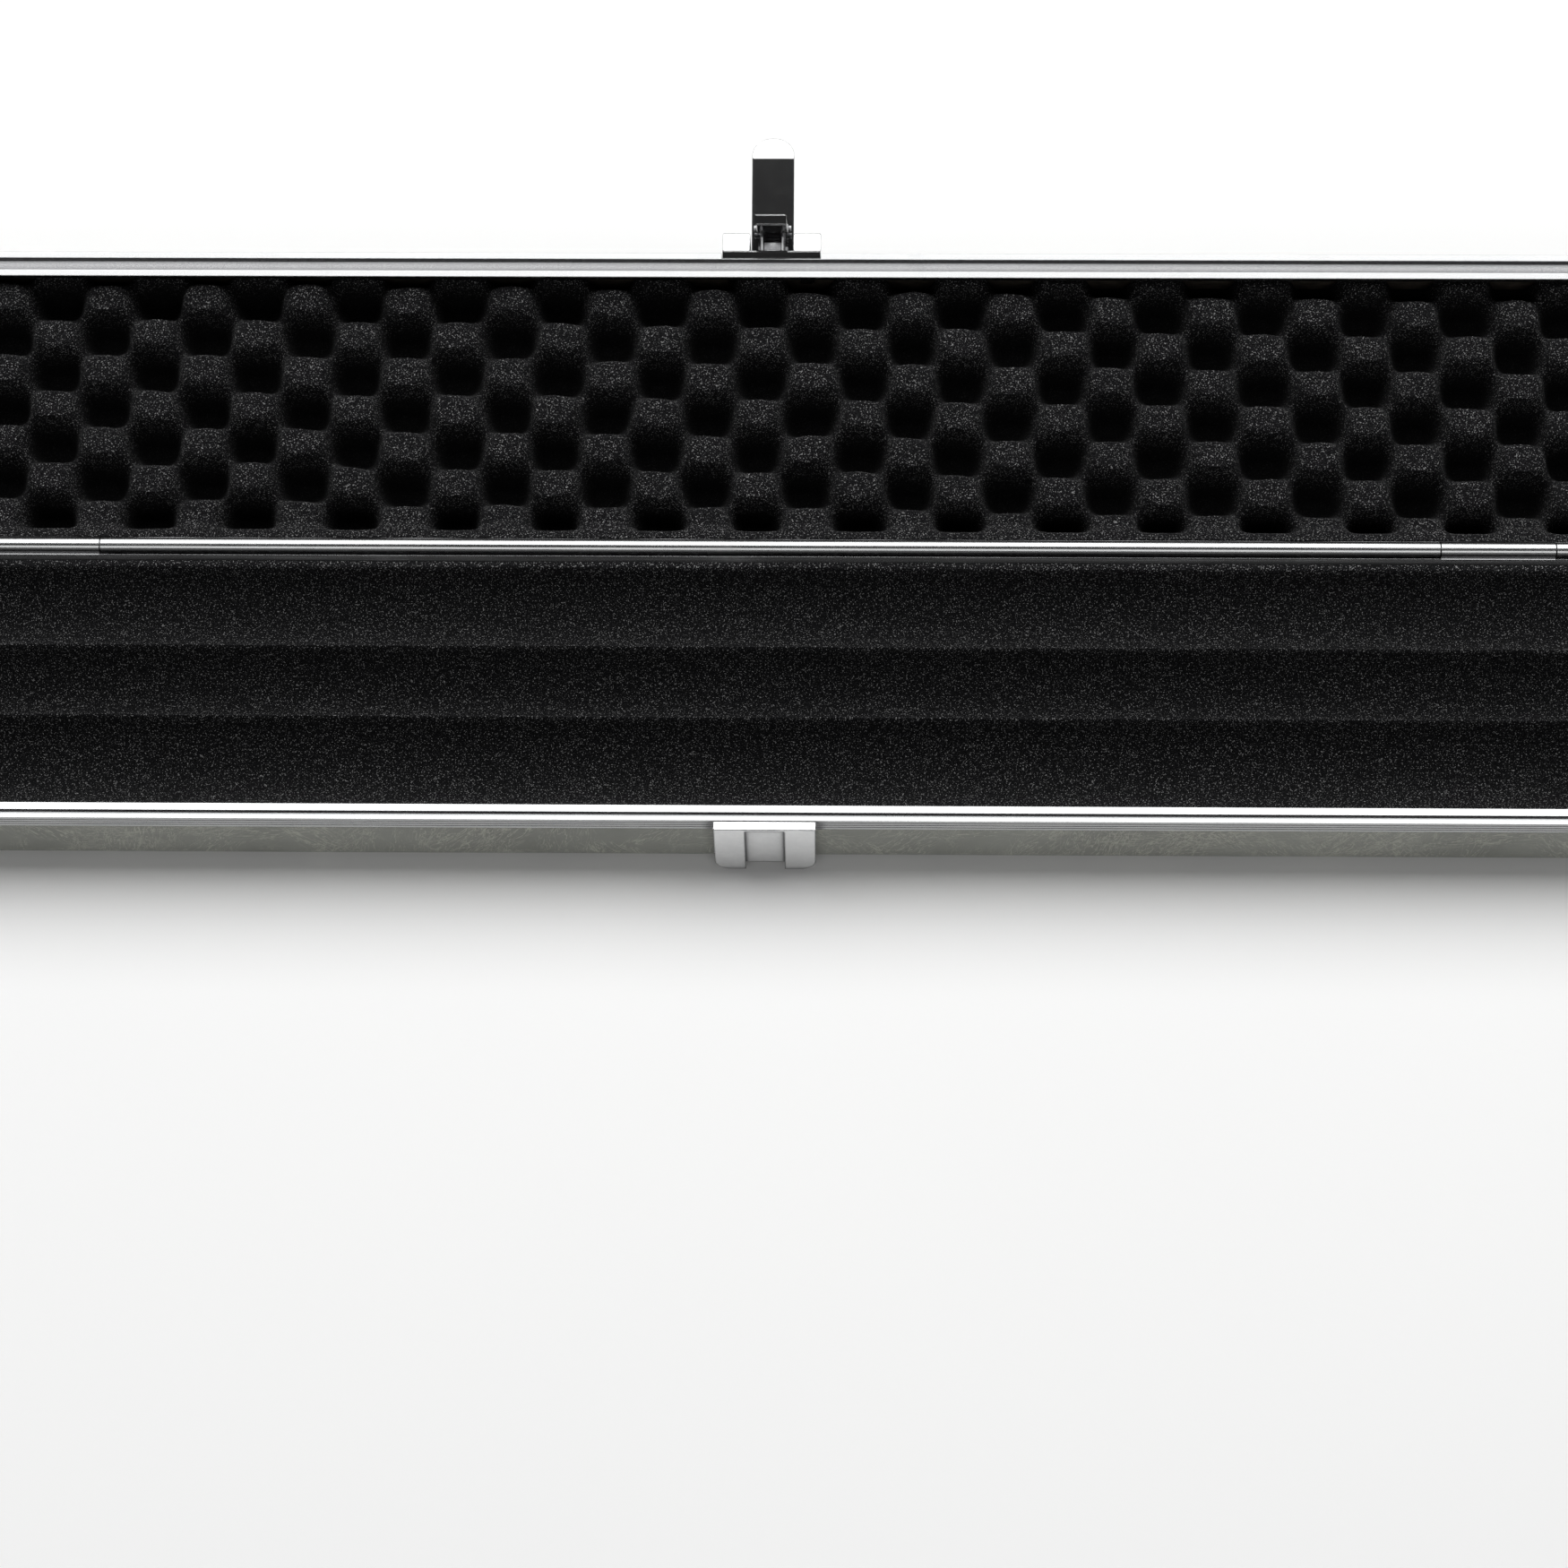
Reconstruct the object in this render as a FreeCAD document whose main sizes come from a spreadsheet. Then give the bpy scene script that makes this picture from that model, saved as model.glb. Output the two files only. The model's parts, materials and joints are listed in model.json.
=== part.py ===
import FreeCAD, Part
import math
import os

import Sketcher

# A hard cue case, lying open: a base tray and a hinged lid, each a leather-covered shell edged
# with aluminium rails. Millimetres. X runs along the case, the latches face -Y, the hinge is at
# +Y, and the origin is the middle of the flat underside. Every sub-part is drawn as it lies in
# the closed case; the lid and what it carries are then placed at their open position.

doc = FreeCAD.newDocument("CueCase")
sheet = doc.addObject("Spreadsheet::Sheet", "Sizes")


class Size:
    """A length or angle that knows its number and the sheet expression behind it."""

    def __init__(self, number, text):
        self.number = float(number)
        self.text = text

    def __float__(self):
        return self.number

    def __add__(self, other):
        return Size(self.number + float(other), f"({self.text} + {text_of(other)})")

    def __radd__(self, other):
        return Size(float(other) + self.number, f"({text_of(other)} + {self.text})")

    def __sub__(self, other):
        return Size(self.number - float(other), f"({self.text} - {text_of(other)})")

    def __rsub__(self, other):
        return Size(float(other) - self.number, f"({text_of(other)} - {self.text})")

    def __mul__(self, other):
        return Size(self.number * float(other), f"({self.text} * {text_of(other)})")

    __rmul__ = __mul__

    def __truediv__(self, other):
        return Size(self.number / float(other), f"({self.text} / {text_of(other)})")

    def __neg__(self):
        return Size(-self.number, f"(-1 * {self.text})")


def text_of(value):
    return value.text if isinstance(value, Size) else repr(round(float(value), 6))


aliases = []


def driving(alias, number):
    """Adds one driving dimension to the sheet and returns it as a Size."""
    aliases.append(alias)
    row = len(aliases)
    sheet.set(f"A{row}", alias.replace("_", " "))
    sheet.set(f"B{row}", str(number))
    sheet.setAlias(f"B{row}", alias)
    return Size(number, f"Sizes.{alias}")


# the case as a whole
case_length = driving("case_length", 1250)
case_width = driving("case_width", 98)
parting = driving("parting_level", 27.5)
parting_gap = driving("parting_gap", 0.2)
closed_top = driving("closed_top", 58)
corner_round = driving("corner_round", 12)
edge_round = driving("edge_round", 5.5)
opening_angle = driving("lid_opening_angle", 163)
slack = driving("assembly_slack", 0.1)
overrun = driving("cut_overrun", 1)

# leather, board and aluminium thicknesses
rail_wall = driving("rail_wall", 0.9)
cover_skin = driving("cover_skin", 0.8)
board_wall = driving("board_wall", 2.4)
inner_wall = driving("rail_inner_wall", 0.8)
lip_width = driving("lid_lip_width", 2.1)
flange = driving("rail_flange", 1.4)
lid_flange = driving("lid_rail_flange", 2.4)
base_rail_height = driving("base_rail_height", 5.3)
lid_rail_height = driving("lid_rail_height", 7)
rail_grip = driving("rail_grip", 4.6)
rib_depth = driving("rib_depth", 0.22)
tongue_width = driving("tongue_width", 2.5)
tongue_height = driving("tongue_height", 0.9)
groove_depth = driving("groove_depth", 1.6)
groove_spare = driving("groove_spare", 1.1)
fit_gap = driving("fit_gap", 0.3)
rail_leg = driving("end_rail_leg", 3)

# the hinge along the rear edge
hinge_block = driving("hinge_block", 4.1)
barrel_radius = driving("barrel_radius", 2.6)
barrel_clearance = driving("barrel_clearance", 0.35)
hinge_bevel = driving("hinge_bevel", 1.3)
hinge_rod_radius = driving("hinge_rod_radius", 1)
running_gap = driving("running_gap", 0.06)
knuckle_length = driving("knuckle_length", 36)
knuckle_inner = driving("knuckle_inner_station", 230)
knuckle_outer = driving("knuckle_outer_station", 520)

# the foam linings
foam_inset = driving("foam_inset", 5.3)
foam_gap = driving("foam_gap", 0.1)
rear_channel = driving("rear_channel_middle", 27.4)
rear_channel_half = driving("rear_channel_half_width", 14)
middle_channel = driving("middle_channel_middle", 0.3)
middle_channel_half = driving("middle_channel_half_width", 12.1)
front_channel = driving("front_channel_middle", -27.8)
front_channel_half = driving("front_channel_half_width", 15)
channel_depth = driving("channel_depth", 15)
channel_end = driving("channel_end", 33)
lid_foam_thickness = driving("lid_foam_thickness", 17.2)

# the carrying handle
strap_span = driving("strap_span", 188)
strap_width = driving("strap_width", 24)
strap_thickness = driving("strap_thickness", 4.6)
strap_rise = driving("strap_rise_pressed", 9.7)
strap_flat = driving("strap_flat_length", 104)
strap_bend = driving("strap_bend_radius", 90)
strap_core = driving("strap_core_thickness", 1.4)
core_margin = driving("strap_core_margin", 4)
slit_spare = driving("strap_slit_spare", 0.6)
tail_thickness = driving("tail_thickness", 1.4)
tail_length = driving("tail_length", 27)
rivet_station = driving("handle_rivet_station", 112)
rivet_radius = driving("handle_rivet_radius", 5.2)
rivet_run = driving("rivet_hole_run", 8)
washer_thickness = driving("washer_thickness", 0.8)
clinch_thickness = driving("rivet_clinch_thickness", 0.8)

# the latches
latch_station = driving("latch_station", 420)
latch_width = driving("latch_width", 31.8)
ear_gap = driving("ear_gap", 14)
ear_reach = driving("ear_reach", 9.8)
ear_low = driving("ear_low", 35)
ear_top = driving("ear_top", 52.8)
ear_corner = driving("ear_corner_round", 3.5)
ear_edge = driving("ear_edge_round", 1.2)
foot_rise = driving("bracket_foot_rise", 0.45)
bracket_plate = driving("bracket_plate_thickness", 1.2)
bracket_apron = driving("bracket_apron_thickness", 1)
plate_drop = driving("bracket_plate_drop", 3)
pin_reach = driving("pin_reach", 5.6)
pin_level = driving("pin_level", 47.2)
pin_radius = driving("pin_radius", 1.25)
lever_width = driving("lever_width", 13.8)
lever_face = driving("lever_face", 10.2)
lever_thickness = driving("lever_thickness", 1.4)
lever_top = driving("lever_top", 50.2)
lever_low = driving("lever_low", 5.5)
finger_lip = driving("finger_lip", 7)
lip_reach = driving("finger_lip_reach", 2)
lip_rise = driving("finger_lip_rise", 0.4)
lever_travel = driving("lever_travel", 85)
neck_width = driving("neck_width", 7.6)
barrel_wall = driving("lever_barrel_radius", 2.4)
cheek = driving("lever_cheek_thickness", 0.8)
eye = driving("rod_eye_radius", 2)
claw_rod_radius = driving("claw_rod_radius", 0.9)
claw_rod_drop = driving("claw_rod_drop", 9.6)
claw_width = driving("claw_width", 10)
claw_face = driving("claw_face", 3.3)
claw_hook_low = driving("claw_hook_low", 3.8)
claw_swing = driving("claw_swing", 95)
claw_thickness = driving("claw_thickness", 1)
claw_hook = driving("claw_hook_depth", 2.4)
claw_neck = driving("claw_neck_length", 5)
screw_radius = driving("screw_radius", 1.2)
screw_grip = driving("screw_grip", 2.4)
screw_reach = driving("screw_hole_reach", 2.5)
screw_length = driving("screw_hole_run", 6)
screw_head = driving("screw_head", 1)
screw_offset = driving("screw_offset", 11.6)
keeper_screw_level = driving("keeper_screw_level", 13)
bracket_screw_level = driving("bracket_screw_level", 40.5)
keeper_reach = driving("keeper_reach", 3.1)
keeper_low = driving("keeper_low", 2)
keeper_edge = driving("keeper_edge", 5.2)
keeper_corner = driving("keeper_corner_round", 5)
keeper_flange = driving("keeper_flange_thickness", 1.2)
panel_depth = driving("keeper_panel_depth", 1.3)
panel_spare = driving("keeper_panel_spare", 1)
wire = driving("spring_wire", 0.6)
coil_radius = driving("spring_coil_radius", 1.9)
coil_pitch = driving("spring_coil_pitch", 0.63)

zero = case_length * 0
half_length = case_length / 2
half_width = case_width / 2
lid_low = parting + parting_gap
axis_level = parting + parting_gap / 2
leather_inset = rail_wall
board_inset = rail_wall + cover_skin
inside_inset = board_inset + board_wall
rail_depth = inside_inset + inner_wall
rail_half = half_length - corner_round - rail_leg
tongue_inset = rail_depth - tongue_width
latch_stations = {"left": -latch_station, "centre": latch_station * 0, "right": latch_station}
all_stations = list(latch_stations.values())


# ---- building helpers --------------------------------------------------------------------


def bind(item, **sizes):
    """Ties the properties of an object to the sheet; double underscores stand for dots."""
    for name, value in sizes.items():
        item.setExpression(name.replace("__", "."), text_of(value))


def outline(body, plane, level, corners, closed=True):
    """A sketch on one of the body's origin planes, raised to level along its normal. Each
    corner is (across, up) or (across, up, round), and its place and round are constrained."""
    sketch = body.newObject("Sketcher::SketchObject", "Outline")
    support = next(f for f in body.Origin.OriginFeatures if f.Role == f"{plane}_Plane")
    sketch.AttachmentSupport = [(support, "")]
    sketch.MapMode = "FlatFace"
    bind(sketch, AttachmentOffset__Base__z=level)
    spots = [FreeCAD.Vector(float(c[0]), float(c[1]), 0) for c in corners]
    rounds = [float(c[2]) if len(c) > 2 else 0 for c in corners]
    count = len(corners)

    def leave(here, there):
        """Where the side from corner here towards corner there starts, past the round."""
        ahead = (spots[there] - spots[here]).normalize()
        if not rounds[here]:
            return spots[here]
        other = spots[(2 * here - there) % count] - spots[here]
        half = ahead.getAngle(other) / 2
        return spots[here] + ahead * (rounds[here] / math.tan(half))

    sides = range(count if closed else count - 1)
    lines = []
    for i in sides:
        j = (i + 1) % count
        line = Part.LineSegment(leave(i, j), leave(j, i))
        lines.append(sketch.addGeometry(line, False))
    for i, corner in enumerate(corners):
        before = lines[i - 1] if closed or i else None
        after = lines[i] if i < len(lines) else None
        if rounds[i]:
            start = sketch.getPoint(before, 2)
            end = sketch.getPoint(after, 1)
            to_start = (start - spots[i]).normalize()
            to_end = (end - spots[i]).normalize()
            half = to_start.getAngle(to_end) / 2
            bisector = (to_start + to_end).normalize()
            middle = spots[i] + bisector * (rounds[i] / math.sin(half) - rounds[i])
            arc = sketch.addGeometry(Part.Arc(start, middle, end), False)
            first = 1 if (sketch.getPoint(arc, 1) - start).Length < 1e-6 else 2
            sketch.addConstraint(Sketcher.Constraint("Tangent", before, 2, arc, first))
            sketch.addConstraint(Sketcher.Constraint("Tangent", after, 1, arc, 3 - first))
            radius = sketch.addConstraint(Sketcher.Constraint("Radius", arc, rounds[i]))
            sketch.renameConstraint(radius, f"round{i}")
            bind(sketch, **{f"Constraints__round{i}": corner[2]})
            anchor, end_of = sketch.addGeometry(Part.Point(spots[i]), True), 1
            for line in (before, after):
                sketch.addConstraint(Sketcher.Constraint("PointOnObject", anchor, 1, line))
        elif after is None:
            anchor, end_of = before, 2
        else:
            anchor, end_of = after, 1
            if before is not None:
                sketch.addConstraint(Sketcher.Constraint("Coincident", before, 2, after, 1))
        for way, name, value in (("DistanceX", "across", corner[0]), ("DistanceY", "up", corner[1])):
            place = Sketcher.Constraint(way, -1, 1, anchor, end_of, float(value))
            sketch.renameConstraint(sketch.addConstraint(place), f"{name}{i}")
            bind(sketch, **{f"Constraints__{name}{i}": value})
    return sketch


def new_body(name):
    return doc.addObject("PartDesign::Body", name)


def pad(body, plane, low, high, corners):
    """Pads an outline from low to high along the plane's normal."""
    feature = body.newObject("PartDesign::Pad", "Pad")
    feature.Profile = outline(body, plane, low, corners)
    bind(feature, Length=high - low)
    return feature


def fillet(body, feature, radius, chosen):
    """Rounds the edges of the body that the function chosen picks."""
    doc.recompute()
    names = [f"Edge{i}" for i, e in enumerate(feature.Shape.Edges, 1) if chosen(e)]
    rounded = body.newObject("PartDesign::Fillet", "Round")
    rounded.Base = (feature, names)
    bind(rounded, Radius=radius)
    return rounded


def box(x, y, z, name="Block"):
    """A block between pairs of limits along X, Y and Z."""
    item = doc.addObject("Part::Box", name)
    bind(item, Length=x[1] - x[0], Width=y[1] - y[0], Height=z[1] - z[0])
    bind(item, Placement__Base__x=x[0], Placement__Base__y=y[0], Placement__Base__z=z[0])
    return item


AXES = {
    "X": FreeCAD.Rotation(FreeCAD.Vector(0, 1, 0), 90),
    "Y": FreeCAD.Rotation(FreeCAD.Vector(1, 0, 0), -90),
    "Z": FreeCAD.Rotation(),
}


def cylinder(axis, start, length, radius, name="Round"):
    """A cylinder that starts at a point and runs along a positive axis."""
    item = doc.addObject("Part::Cylinder", name)
    item.Placement = FreeCAD.Placement(FreeCAD.Vector(), AXES[axis])
    bind(item, Radius=radius, Height=length)
    bind(item, Placement__Base__x=start[0], Placement__Base__y=start[1])
    bind(item, Placement__Base__z=start[2])
    return item


def fuse(*shapes, name="Union"):
    item = doc.addObject("Part::MultiFuse", name)
    item.Shapes = list(shapes)
    item.Refine = True
    return item


def cut(base, *tools, name="Difference"):
    """The base with every tool taken away."""
    item = doc.addObject("Part::Cut", name)
    item.Base = base
    item.Tool = tools[0] if len(tools) == 1 else fuse(*tools, name="Tools")
    item.Refine = True
    return item


def group(*shapes, name="Group"):
    item = doc.addObject("Part::Compound", name)
    item.Links = list(shapes)
    return item


pieces = []


def keep(item, label, placement=None):
    """Names a finished sub-part and puts it in its place."""
    item.Label = label
    if placement is not None:
        item.Placement = placement.multiply(item.Placement)
    pieces.append(item)
    return item


def turn_about_x(y, z, degrees):
    """A turn about a line along X through (y, z)."""
    centre = FreeCAD.Vector(0, float(y), float(z))
    rotation = FreeCAD.Rotation(FreeCAD.Vector(1, 0, 0), degrees)
    return FreeCAD.Placement(FreeCAD.Vector(), rotation, centre)


def shift(x, y=0, z=0):
    return FreeCAD.Placement(FreeCAD.Vector(float(x), float(y), float(z)), FreeCAD.Rotation())


def screw_places(stations):
    """The X positions of the two screws that hold each latch part."""
    return [x + offset for x in stations for offset in (-screw_offset, screw_offset)]


def screw_bores(stations, face, level):
    """Holes for the screws, through whatever lies behind and just outside the rail's face."""
    return [cylinder("Y", (x, face - screw_reach, level), screw_reach + screw_length,
                     screw_radius + running_gap / 3) for x in screw_places(stations)]


def screws(stations, face, level):
    """Screws driven from inside the shell, through board and leather, into the metal."""
    items = []
    for x in screw_places(stations):
        seat = face + inside_inset
        shank = cylinder("Y", (x, face - screw_grip, level), screw_grip + inside_inset, screw_radius)
        head = cylinder("Y", (x, seat, level), screw_head, screw_radius * 2)
        items.append(fuse(shank, head))
    return group(*items, name="Screws")


lid_open = turn_about_x(half_width, axis_level, -float(opening_angle))


# ---- covers, shells and foam -------------------------------------------------------------


def rounded_block(inset, low, high, edge, edge_level):
    """The plan of the case, drawn in by inset, from low to high, rounded along one face."""
    body = new_body("Block")
    x, y, r = half_length - inset, half_width - inset, corner_round - inset
    plan = [(-x, -y, r), (x, -y, r), (x, y, r), (-x, y, r)]
    solid = pad(body, "XY", low, high, plan)

    def on_face(e):
        return all(abs(v.Z - float(edge_level)) < 1e-6 for v in e.Vertexes)

    fillet(body, solid, edge, on_face)
    return body


def tray(inset, wall, floor, rim):
    """An open tray or, where the floor is above the rim, a lid."""
    upright = float(rim) > float(floor)
    inner_floor = floor + wall if upright else floor - wall
    low, high = (floor, rim) if upright else (rim, floor)
    outer = rounded_block(inset, low, high, edge_round + leather_inset - inset, floor)
    # the hollow runs on past the rim so that the cut leaves it open
    low, high = (inner_floor, rim + overrun) if upright else (rim - overrun, inner_floor)
    inner_edge = edge_round + leather_inset - inset - wall
    inner = rounded_block(inset + wall, low, high, inner_edge, inner_floor)
    return cut(outer, inner, name="Tray")


def rear_strip(low, high):
    """The part of the rear wall that makes way for a hinge rail."""
    return box((-rail_half, rail_half), (half_width - rail_depth, half_width + overrun),
               (low, high))


base_slot_top = parting - flange
base_block_low = axis_level - hinge_block
lid_slot_low = lid_low + lid_flange
lid_block_top = axis_level + hinge_block


def base_wall(inset, wall, floor):
    """The cover or the shell of the base, drilled for the keepers' screws."""
    return cut(tray(inset, wall, floor, base_slot_top), rear_strip(base_block_low, parting),
               *screw_bores(all_stations, -half_width, keeper_screw_level))


keep(base_wall(leather_inset, cover_skin, zero), "base_cover")
keep(base_wall(board_inset, board_wall, cover_skin), "base_shell")
keep(screws(all_stations, -half_width, keeper_screw_level), "keeper_screws")

lining_x = half_length - foam_inset
lining_y = half_width - foam_inset
foam_floor = cover_skin + board_wall + foam_gap
foam_edge = edge_round + leather_inset - inside_inset


def lining(low, high, edge_level):
    """A foam block that fills a tray, with its buried edges rounded to the tray."""
    return rounded_block(foam_inset, low, high, foam_edge, edge_level)


# three channels side by side, each a long trough of round section: (middle, half its width)
channels = [(rear_channel, rear_channel_half), (middle_channel, middle_channel_half),
            (front_channel, front_channel_half)]
foam_top = parting - foam_gap
channel_x = half_length - channel_end
troughs = []
for middle, half_chord in channels:
    radius = (half_chord * half_chord + channel_depth * channel_depth) / (channel_depth * 2)
    bottom = foam_top - channel_depth
    troughs.append(cylinder("X", (-channel_x, middle, bottom + radius), channel_x * 2, radius))
keep(cut(lining(foam_floor, foam_top, foam_floor), *troughs), "base_foam")


# ---- rails -------------------------------------------------------------------------------


def ribbed(low, high, count):
    """The outer face of a rail: fine V grooves at even steps, from low to high."""
    step = (high - low) / (count + 1)
    face = []
    for i in range(1, count + 1):
        level = low + step * i
        face += [(zero, level - rib_depth), (rib_depth, level), (zero, level + rib_depth)]
    return face


base_rail_low = parting - base_rail_height
base_profile = (
    [(zero, base_rail_low)]
    + ribbed(base_rail_low, parting, 3)
    + [(zero, parting), (rail_depth, parting), (rail_depth, parting - rail_grip - flange),
       (inside_inset, parting - rail_grip - flange), (inside_inset, base_slot_top),
       (rail_wall, base_slot_top), (rail_wall, base_rail_low)]
)
lid_rail_top = lid_low + lid_rail_height
groove_start = tongue_inset - fit_gap
groove_end = rail_depth + groove_spare
lip_end = groove_end + lip_width
groove_top = lid_low + groove_depth
lid_profile = (
    [(zero, lid_low)]
    + ribbed(lid_low, lid_rail_top, 5)
    + [(zero, lid_rail_top), (rail_wall, lid_rail_top), (rail_wall, lid_slot_low),
       (inside_inset, lid_slot_low), (inside_inset, lid_rail_top), (rail_depth, lid_rail_top),
       (rail_depth, lid_slot_low), (lip_end, lid_slot_low), (lip_end, lid_low),
       (groove_end, lid_low), (groove_end, groove_top), (groove_start, groove_top),
       (groove_start, lid_low)]
)


def front_edge(profile):
    """A rail section, given as (depth from the outer face, level), at the front edge."""
    return [(depth - half_width, level) for depth, level in profile]


def front_rail(profile):
    body = new_body("FrontRail")
    pad(body, "YZ", -rail_half, rail_half, front_edge(profile))
    return body


def end_rail(profile, side):
    """A rail that leaves the front rail, rounds both corners of one end and meets the hinge
    rail. side is 1 at +X and -1 at -X."""
    body = new_body("EndRail")
    section = outline(body, "YZ", rail_half * side, front_edge(profile))
    start, end = rail_half * side, half_length * side
    route = [(start, -half_width), (end, -half_width, corner_round),
             (end, half_width, corner_round), (start, half_width)]
    path = outline(body, "XY", zero, route, closed=False)
    sweep = body.newObject("PartDesign::AdditivePipe", "Sweep")
    sweep.Profile = section
    sweep.Spine = (path, [])
    return body


def tongue(x, y):
    """The raised bead on a base rail that fits the groove of the lid."""
    return box(x, y, (parting - flange / 2, parting + tongue_height), "Tongue")


tongue_y = (tongue_inset - half_width, rail_depth - half_width)
base_front = fuse(front_rail(base_profile), tongue((-rail_half, rail_half), tongue_y))
keep(base_front, "base_front_rail")
bracket_notch = [box((station - latch_width / 2, station + latch_width / 2),
                     (-half_width - overrun, 2 * rail_wall - half_width),
                     (lid_low - overrun, lid_rail_top + overrun))
                 for station in latch_stations.values()]
keep(cut(front_rail(lid_profile), *bracket_notch), "lid_front_rail", lid_open)
for word, side in (("left", -1), ("right", 1)):
    inner, outer = half_length - rail_depth, half_length - tongue_inset
    across = (inner, outer) if side > 0 else (-outer, -inner)
    straight = (corner_round - half_width, half_width - corner_round - rail_leg)
    keep(fuse(end_rail(base_profile, side), tongue(across, straight)), f"base_end_rail_{word}")
    keep(end_rail(lid_profile, side), f"lid_end_rail_{word}", lid_open)

# the hinge: the lid's rail carries a long barrel, broken at four stations by the base's knuckles
stations = [-knuckle_outer, -knuckle_inner, knuckle_inner, knuckle_outer]


def along_hinge(x, length, radius):
    return cylinder("X", (x, half_width, axis_level), length, radius, "Barrel")


def hinge_bore(radius):
    """A bore through the whole length of the hinge."""
    return along_hinge(-rail_half - overrun, (rail_half + overrun) * 2, radius)


def hinge_section(block, grip, face, bevelled):
    """A rear rail: a solid block beside the barrel, and two walls that grip the shell. Its face
    falls away from the barrel to the level bevelled, where the foam begins."""
    depths = [half_width, half_width - rail_wall, half_width - inside_inset,
              half_width - rail_depth]
    return [(depths[0], face), (depths[0], grip), (depths[1], grip), (depths[1], block),
            (depths[2], block), (depths[2], grip), (depths[3], grip), (depths[3], bevelled),
            (half_width - barrel_radius, face)]


def hinge_rail(*section):
    body = new_body("HingeRail")
    pad(body, "YZ", -rail_half, rail_half, hinge_section(*section))
    return body


def at_stations(radius, spare):
    half = knuckle_length / 2 + spare
    return [along_hinge(x - half, half * 2, radius) for x in stations]


recess = barrel_radius + barrel_clearance
base_hinge = cut(hinge_rail(base_block_low, base_block_low - rail_grip / 2, parting,
                            parting - hinge_bevel),
                 hinge_bore(recess))
web_reach = recess + hinge_rod_radius / 2
webs = [box((x - knuckle_length / 2, x + knuckle_length / 2), (half_width - web_reach, half_width),
            (axis_level - web_reach, parting)) for x in stations]
base_hinge = cut(fuse(base_hinge, *webs, *at_stations(barrel_radius, 0)),
                 hinge_bore(hinge_rod_radius + running_gap / 3))
keep(base_hinge, "base_hinge_rail")

lid_hinge = fuse(hinge_rail(lid_block_top, lid_rail_top + rail_grip / 4, lid_low,
                            lid_low + hinge_bevel),
                 along_hinge(-rail_half, rail_half * 2, barrel_radius))
lid_hinge = cut(lid_hinge, *at_stations(recess, fit_gap), hinge_bore(hinge_rod_radius + running_gap))
keep(lid_hinge, "lid_hinge_rail", lid_open)
keep(group(along_hinge(-rail_half, rail_half * 2, hinge_rod_radius)), "hinge_rod")


# ---- lid covering, lining and handle -----------------------------------------------------

slit_low, slit_high = strap_span / 2 - strap_thickness, strap_span / 2 + slit_spare
strap_y = (-strap_width / 2, strap_width / 2)
board_top = closed_top - cover_skin
slot_y = (strap_y[0] - fit_gap, strap_y[1] + fit_gap)


def both_ends(low, high):
    """The same stretch of X at each end of the handle."""
    return [(low, high), (-high, -low)]


slits = [box(x, slot_y, (board_top - overrun, closed_top + overrun))
         for x in both_ends(slit_low, slit_high)]
beds = [box(x, slot_y, (board_top - tail_thickness - foam_gap, board_top + overrun))
        for x in both_ends(slit_low, slit_high + tail_length)]
rivet_shank = rivet_radius * 0.45


def rivet_holes():
    return [cylinder("Z", (x, zero, closed_top - rivet_run), rivet_run * 1.5, rivet_shank)
            for x in (-rivet_station, rivet_station)]


def lid_wall(inset, wall, top, *handle_cuts):
    """The cover or the shell of the lid, drilled for the brackets' screws."""
    return cut(tray(inset, wall, top, lid_slot_low), rear_strip(lid_low, lid_block_top),
               *screw_bores(all_stations, -half_width, bracket_screw_level), *handle_cuts)


keep(lid_wall(leather_inset, cover_skin, closed_top, *slits, *rivet_holes()), "lid_cover", lid_open)
keep(lid_wall(board_inset, board_wall, board_top, *beds, *rivet_holes()), "lid_shell", lid_open)
keep(screws(all_stations, -half_width, bracket_screw_level), "bracket_screws", lid_open)
tails = [box(x, strap_y, (board_top - tail_thickness, board_top))
         for x in both_ends(slit_low + fit_gap, slit_high + tail_length - fit_gap)]
keep(cut(fuse(*tails), *rivet_holes()), "handle_tails", lid_open)

inner_top = board_top - board_wall
washer_level = inner_top - washer_thickness
clinch_level = washer_level - clinch_thickness
rivets, washers = [], []
for x in (-rivet_station, rivet_station):
    dome = doc.addObject("Part::Sphere", "Dome")
    bind(dome, Radius=rivet_radius * 1.5, Placement__Base__x=x)
    bind(dome, Placement__Base__z=closed_top - rivet_radius * 1.1)
    above = box((x - rivet_radius * 2, x + rivet_radius * 2), (-rivet_radius * 2, rivet_radius * 2),
                (closed_top, closed_top + rivet_radius * 2))
    head = doc.addObject("Part::Common", "Head")
    head.Base, head.Tool = dome, above
    shank = cylinder("Z", (x, zero, clinch_level), closed_top + overrun / 2 - clinch_level,
                     rivet_shank)
    clinch = cylinder("Z", (x, zero, clinch_level), clinch_thickness, rivet_shank * 1.5)
    rivets.append(fuse(head, shank, clinch))
    hole = cylinder("Z", (x, zero, clinch_level), washer_thickness * 3, rivet_shank)
    washers.append(cut(cylinder("Z", (x, zero, washer_level), washer_thickness, rivet_radius), hole))
keep(group(*rivets), "handle_rivets", lid_open)
keep(group(*washers), "handle_washers", lid_open)

foam_back = clinch_level - slack * 2
keep(group(lining(foam_back - lid_foam_thickness, foam_back, foam_back)), "lid_foam", lid_open)

# the strap, pressed down as it is under the open lid: a low arch with a flat middle
strap_low = closed_top + fit_gap
strap_high = closed_top + strap_rise
knee = strap_flat / 2
foot = strap_span / 2


def arch(drop, spread, toe):
    """The upper side of the arch from one foot to the other, lowered by drop."""
    return [(-foot + spread, strap_low + toe), (-knee, strap_high - drop, strap_bend),
            (knee, strap_high - drop, strap_bend), (foot - spread, strap_low + toe)]


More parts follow.
